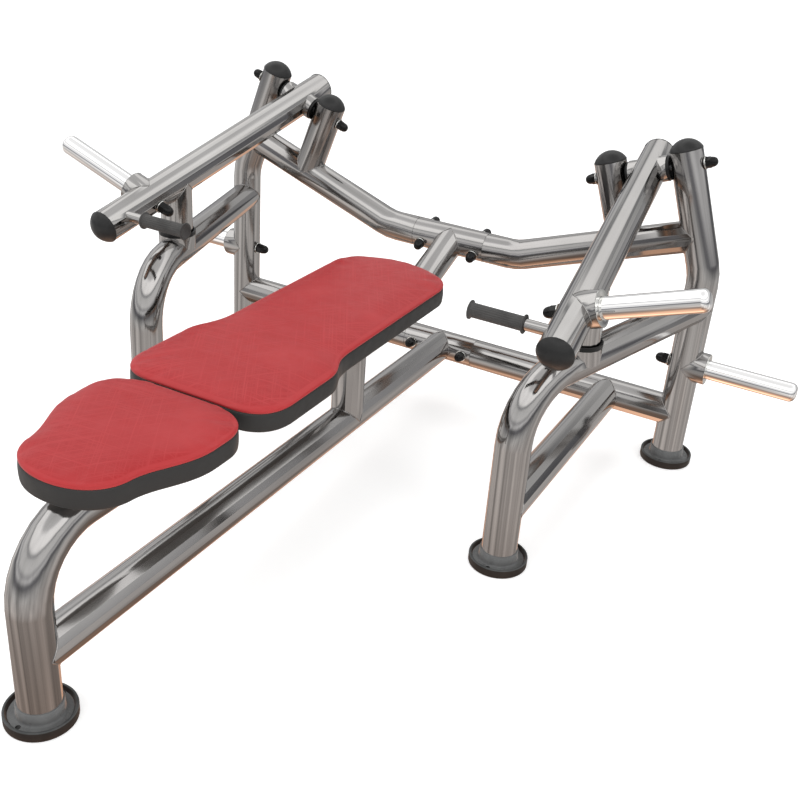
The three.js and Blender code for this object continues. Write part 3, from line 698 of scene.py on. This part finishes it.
def seat_outline():
    front, rear, nose, wide = 51, 398, 108, 158
    return [
        *bezier((0, front), (58, front), (nose - 6, front + 30), (nose, front + 78)),
        *bezier((nose, front + 78), (nose + 4, 178), (wide - 2, 214), (wide, 280)),
        *line((wide, 280), (wide, rear - 80)),
        *bezier((wide, rear - 80), (wide, rear - 36), (wide - 30, rear - 6), (wide - 86, rear)),
        *line((wide - 86, rear), (0, rear)), Vector((0, rear)),
    ]


def back_outline():
    front, rear, wide, waist = 407, 1240, 174.5, 145
    return [
        *line((0, front), (wide - 80, front)),
        *bezier((wide - 80, front), (wide - 30, front + 1), (wide, front + 29), (wide, front + 83)),
        *line((wide, front + 83), (wide, 612)),
        *bezier((wide, 612), (wide, 668), (waist + 1, 664), (waist, 735)),
        *line((waist, 735), (waist, rear - 110)),
        *bezier((waist, rear - 110), (waist, rear - 50), (waist - 44, rear - 12), (0, rear)),
        Vector((0, rear)),
    ]


def even_loop(half, count):
    """Points at even distances round the outline, whose right-hand half is given."""
    loop = half + [Vector((-p.x, p.y)) for p in half[-2:0:-1]]
    lengths = [0.0]
    for a, b in zip(loop, loop[1:] + loop[:1]):
        lengths.append(lengths[-1] + (b - a).length)
    points, k = [], 0
    for i in range(count):
        target = lengths[-1] * i / count
        while lengths[k + 1] < target:
            k += 1
        share = (target - lengths[k]) / max(1e-9, lengths[k + 1] - lengths[k])
        points.append(loop[k].lerp(loop[(k + 1) % len(loop)], share))
    return points


def inwards(points):
    """Unit vectors that point into the outline."""
    count = len(points)
    made = []
    for i in range(count):
        way = (points[(i + 2) % count] - points[(i - 2) % count]).normalized()
        made.append(Vector((-way.y, way.x)))
    return made


PAD_PROFILE = (  # inset and height of each ring, in mm, from the pocket of the board to the crest
    (8.3, 416.2), (8.3, 404.2), (7.0, 403.7), (2.6, 403.9), (0.9, 405.0), (0.2, 407.5), (-0.5, 414),
    (-0.8, 423), (-0.5, 432), (0.2, 437.6), (1.0, 439.9), (2.3, 440.9), (2.5, 441.5), (1.2, 442.2),
    (0.2, 444.0), (0.3, 447.2), (1.8, 450.8), (4.2, 453.9), (7.6, 456.2), (11.2, 457.2), (14.6, 457.0),
    (18.0, 456.6),
)
SEAM_RING = 12  # number of the ring in the groove under the red top
HELD_BELOW, HELD_FULLY = 452, 444  # heights between which the cover comes loose from the foam
MOST_SWELL, SETTLING_FRAMES = 4.5, 14
CALM_ABOVE, CALM_ROUNDS = 451.5, 5
SEAT_POINTS, BACK_POINTS = 176, 288  # points round each pad


def cushion_mesh(name, half, count):
    """Closed pad: underside, black wall, welt with its seam, rolled edge and crowned red top."""
    outline = even_loop(half, count)
    normals = inwards(outline)
    low_y, high_y = min(p.y for p in outline), max(p.y for p in outline)
    reach = max(p.x for p in outline)
    bm = bmesh.new()

    def ring(inset, height):
        return [bm.verts.new(place((*(p + n * inset), height))) for p, n in zip(outline, normals)]

    def shrunk(inset, share, height):
        made = []
        for p, n in zip(outline, normals):
            start = p + n * inset
            spine_y = min(max(start.y, low_y + reach), high_y - reach)
            spot = Vector((start.x * (1 - share), start.y + (spine_y - start.y) * share))
            made.append(bm.verts.new(place((*spot, height))))
        return made

    steps = 11
    under = [shrunk(PAD_PROFILE[0][0], 1 - i / steps, PAD_PROFILE[0][1]) for i in range(steps)]
    wall = [ring(inset, height) for inset, height in PAD_PROFILE]
    over = []
    edge_inset, edge_height = PAD_PROFILE[-1]
    for i in range(1, steps + 1):
        share = i / steps
        swell = (CREST - edge_height) * math.sin(share * math.pi / 2)
        over.append(shrunk(edge_inset, share, edge_height + swell))
    rings = under + wall + over
    seam = len(under) + SEAM_RING
    for k, (low, high) in enumerate(zip(rings, rings[1:])):
        for i in range(count):
            j = (i + 1) % count
            face = bm.faces.new((low[i], low[j], high[j], high[i]))
            face.material_index = 1 if k < seam - 1 else 2 if k == seam - 1 else 0
    bmesh.ops.remove_doubles(bm, verts=under[0] + over[-1], dist=0.4 * MM)
    bmesh.ops.dissolve_degenerate(bm, edges=bm.edges, dist=1e-7)
    return finished(name, bm, ["red", "black", "thread"], 70)


def inflate(pad):
    """Lets the foam swell the red top under its cover, and keeps what it gains small."""
    held = pad.vertex_groups.new(name="held")
    for vertex in pad.data.vertices:
        share = (HELD_BELOW - vertex.co.z / MM) / (HELD_BELOW - HELD_FULLY)
        held.add([vertex.index], min(1.0, max(0.0, share)), "REPLACE")
    before = [v.co.copy() for v in pad.data.vertices]
    cloth = pad.modifiers.new("cloth", "CLOTH")
    cloth.settings.quality = 4
    cloth.settings.mass = 0.25
    cloth.settings.tension_stiffness = 25
    cloth.settings.compression_stiffness = 18
    cloth.settings.bending_stiffness = 0.6
    cloth.settings.vertex_group_mass = "held"
    cloth.settings.use_pressure = True
    cloth.settings.uniform_pressure_force = 3.2
    cloth.settings.effector_weights.gravity = 0
    scene = bpy.context.scene
    for number in range(1, SETTLING_FRAMES + 1):
        scene.frame_set(number)
    settled = pad.evaluated_get(bpy.context.evaluated_depsgraph_get())
    after = [v.co.copy() for v in settled.data.vertices]
    pad.modifiers.remove(cloth)
    scene.frame_set(1)
    most = MOST_SWELL * MM
    for vertex, old, new in zip(pad.data.vertices, before, after):
        move = new - old
        if move.length > most:
            move *= most / move.length
        vertex.co = old + move
    pad.vertex_groups.clear()
    calm(pad.data)


def calm(mesh):
    """Evens out the small puckers that the pressure leaves beside the welt."""
    bm = bmesh.new()
    bm.from_mesh(mesh)
    crown = [vertex for vertex in bm.verts if vertex.co.z > CALM_ABOVE * MM]
    axes = {"use_axis_x": True, "use_axis_y": True, "use_axis_z": True}
    for _ in range(CALM_ROUNDS):
        bmesh.ops.smooth_vert(bm, verts=crown, factor=0.5, **axes)
    bm.to_mesh(mesh)
    bm.free()


def upholstery(name, half, count):
    mesh = cushion_mesh(name + "_upholstery", half, count)
    pad = piece(name + "_upholstery", mesh, FRAME, [name + "_cushion"])
    pad.visible_glossy = False
    inflate(pad)
    fine = pad.modifiers.new("fine", "SUBSURF")
    fine.levels = fine.render_levels = 1


# ---- CAD nodes that stay -------------------------------------------------------------

def refine(node, material, sharp_degrees=33):
    """Smooth shading over the CAD facets, with crisp edges where the real part has them."""
    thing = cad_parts[node]
    mesh = thing.data
    if "custom_normal" in mesh.attributes:
        mesh.attributes.remove(mesh.attributes["custom_normal"])
    mesh.materials.clear()
    mesh.materials.append(MATERIALS[material])
    mesh.polygons.foreach_set("use_smooth", [True] * len(mesh.polygons))
    weld = thing.modifiers.new("weld", "WELD")
    weld.merge_threshold = 0.02 * MM
    split = thing.modifiers.new("split", "EDGE_SPLIT")
    split.split_angle = math.radians(sharp_degrees)
    split.use_edge_sharp = False
    even = thing.modifiers.new("even", "WEIGHTED_NORMAL")
    even.keep_sharp = True


FINISH_OF = (
    ("press_arm", "arm"), ("seat_board", "board"), ("back_board", "board"), ("seat_mount", "plate"),
    ("back_mount", "plate"), ("rubber_bumper", "nylon"), ("pivot_bush", "nylon"), ("pivot_shaft", "shaft"),
    ("", "tube"),
)


def finish_cad_nodes():
    for node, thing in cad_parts.items():
        if thing.hide_render:
            continue
        look = next(look for start, look in FINISH_OF if node.startswith(start))
        refine(node, look)
        thing.visible_glossy = look != "plate"


# ---- The object ----------------------------------------------------------------------

def centre():
    foot("foot_front", 0, 0)
    upholstery("seat", seat_outline(), SEAT_POINTS)
    upholstery("back", back_outline(), BACK_POINTS)
    bench = Vector((0, RAIL_Y, BENCH_RAIL_Z))
    floor_rail = Vector((0, RAIL_Y, FLOOR_RAIL_Z))
    post = Vector((0, CENTRE_POST_Y, (FLOOR_RAIL_Z + BENCH_RAIL_Z) / 2))
    weld_bead("weld_post_top", post, Z, bench, Y, FRAME)
    weld_bead("weld_post_foot", post, -Z, floor_rail, Y, FRAME)
    weld_bead("weld_floor_rail_front", floor_rail, -Y, Vector((0, 0, 0)), Z, FRAME)
    rear_beam = Vector((0, REAR_Y, FLOOR_RAIL_Z))
    weld_bead("weld_floor_rail_rear", floor_rail, Y, rear_beam, X, FRAME)
    rise_start = Vector((0, RISE_Y, BENCH_RAIL_Z))
    top_beam = Vector((0, REAR_Y, CROSSBEAM_Z))
    weld_bead("weld_rise_rear", rise_start, top_beam - rise_start, top_beam, X, FRAME)


def fixed_side(side):
    across = SIDES[side]
    out, rise = mirrored(OUT, side), mirrored(RISE, side)
    foot("foot_rear_" + side, across * UPRIGHT_X, REAR_Y)
    foot("foot_side_" + side, across * SIDE_LEG_X, SIDE_LEG_Y)
    end_cap("upright_cap_" + side, mirrored(UPRIGHT_TOP, side), rise, FRAME)
    end_cap("post_cap_" + side, mirrored(POST_TOP, side), rise, FRAME)
    base = Vector((across * STORAGE_COLLAR_X, REAR_Y, STORAGE_Z))
    plate_horn("storage_horn_" + side, base, mirrored(X, side), STORAGE_TIP_X - STORAGE_COLLAR_X, FRAME)
    seat = Vector((across * (UPRIGHT_X - TUBE_RADIUS), REAR_Y, STORAGE_Z))
    cap_nut("storage_nut_" + side, seat, mirrored(-X, side), FRAME, ["storage_horn_nut_" + side], HORN_NUT)
    for level, z, tilt in (("upper", CROSSBEAM_Z, UPPER_BOLT_TILT), ("lower", FLOOR_RAIL_Z, 0)):
        axis = Vector((0, math.cos(tilt), math.sin(tilt)))
        spot = Vector((across * JOINT_BOLT_X, REAR_Y, z))
        names = ["joint_bolt_" + level + "_" + side]
        front, rear = spot - axis * TUBE_RADIUS, spot + axis * TUBE_RADIUS
        cap_nut(f"joint_nut_front_{level}_{side}", front, -axis, FRAME, names, JOINT_NUT)
        cap_nut(f"joint_nut_rear_{level}_{side}", rear, axis, FRAME, (), JOINT_NUT)
        seam_ring(f"joint_seam_{level}_{side}", Vector((across * SEAM_X, REAR_Y, z)), X)
    pivot = mirrored(PIVOT, side)
    face = POST_SPACING / 2 + TUBE_RADIUS
    cap_nut("pivot_nut_outer_" + side, pivot + out * face, out, FRAME, (), PIVOT_NUT)
    cap_nut("pivot_nut_inner_" + side, pivot - out * face, -out, FRAME, (), PIVOT_NUT)
    side_welds(side)


def seam_ring(name, spot, direction):
    """The faint line where two tubes of a bolted joint butt together."""
    inner, outer = TUBE_RADIUS - 1.5, TUBE_RADIUS + 0.1
    profile = [(inner, -0.2), (outer, -0.25), (outer, 0.25), (inner, 0.2), (inner, -0.2)]
    piece(name, turned(name, profile, spot, direction, ["seam"]), FRAME)


def side_welds(side):
    def bead(name, start, way, main, main_way):
        given = (mirrored(vector, side) for vector in (start, way, main, main_way))
        weld_bead(f"{name}_{side}", *given, FRAME)

    upright = Vector((UPRIGHT_X, REAR_Y, 0))
    leg = Vector((SIDE_LEG_X, SIDE_LEG_Y, 0))
    side_rail = Vector((UPRIGHT_X, REAR_Y, SIDE_RAIL_Z)) - Vector((SIDE_LEG_X, SIDE_LEG_Y, SIDE_RAIL_Z))
    floor_rail = Vector((SIDE_LEG_X, SIDE_FLOOR_RAIL_Y, FLOOR_RAIL_Z))
    lower_beam = Vector((BEAM_X, REAR_Y, FLOOR_RAIL_Z))
    kink = Vector((BEAM_KINK_X, REAR_Y, CROSSBEAM_Z))
    start = Vector((SIDE_LEG_X, SIDE_LEG_Y, SIDE_RAIL_Z)) + side_rail * 0.5
    bead("weld_side_rail", start, side_rail, upright, Z)
    bead("weld_side_floor_front", floor_rail, -Y, leg, Z)
    bead("weld_side_floor_rear", floor_rail, Y, lower_beam, X)
    bead("weld_lower_beam", lower_beam, X, upright, Z)
    bead("weld_upper_beam", kink + OUT * CLEAR, OUT, UPRIGHT_TOP, RISE)
    bead("weld_inner_post", POST_TOP - RISE * CLEAR, -RISE, kink, OUT)
    bead("weld_storage_collar", Vector((UPRIGHT_X + FAR_CLEAR, REAR_Y, STORAGE_Z)), -X, upright, Z)


def moving_side(side):
    body = ARMS[side]
    out, arm = mirrored(OUT, side), mirrored(ARM, side)
    pivot = mirrored(PIVOT, side)
    horn = pivot + arm * HORN_AT
    base = horn + out * ARM_COLLAR_END
    plate_horn("plate_horn_" + side, base, out, ARM_HORN_TIP - ARM_COLLAR_END, body)
    cap_nut("arm_nut_" + side, horn - out * TUBE_RADIUS, -out, body, ["plate_horn_nut_" + side], HORN_NUT)
    end_cap("arm_front_cap_" + side, pivot + arm * ARM_FRONT, arm, body)
    end_cap("arm_rear_cap_" + side, pivot + arm * ARM_REAR, -arm, body, REAR_CAP_DOME)
    hand_grip(side)
    weld_bead("weld_horn_collar_" + side, horn + out * FAR_CLEAR, -out, pivot, arm, body)
    stop = pivot + arm * STOP_AT
    weld_bead("weld_stop_" + side, stop - Z * FAR_CLEAR, Z, pivot, arm, body)


scene = bpy.context.scene
scene.view_settings.view_transform = "Standard"
photo_camera()
studio()
floor()
centre()
for each in SIDES:
    fixed_side(each)
    moving_side(each)
finish_cad_nodes()
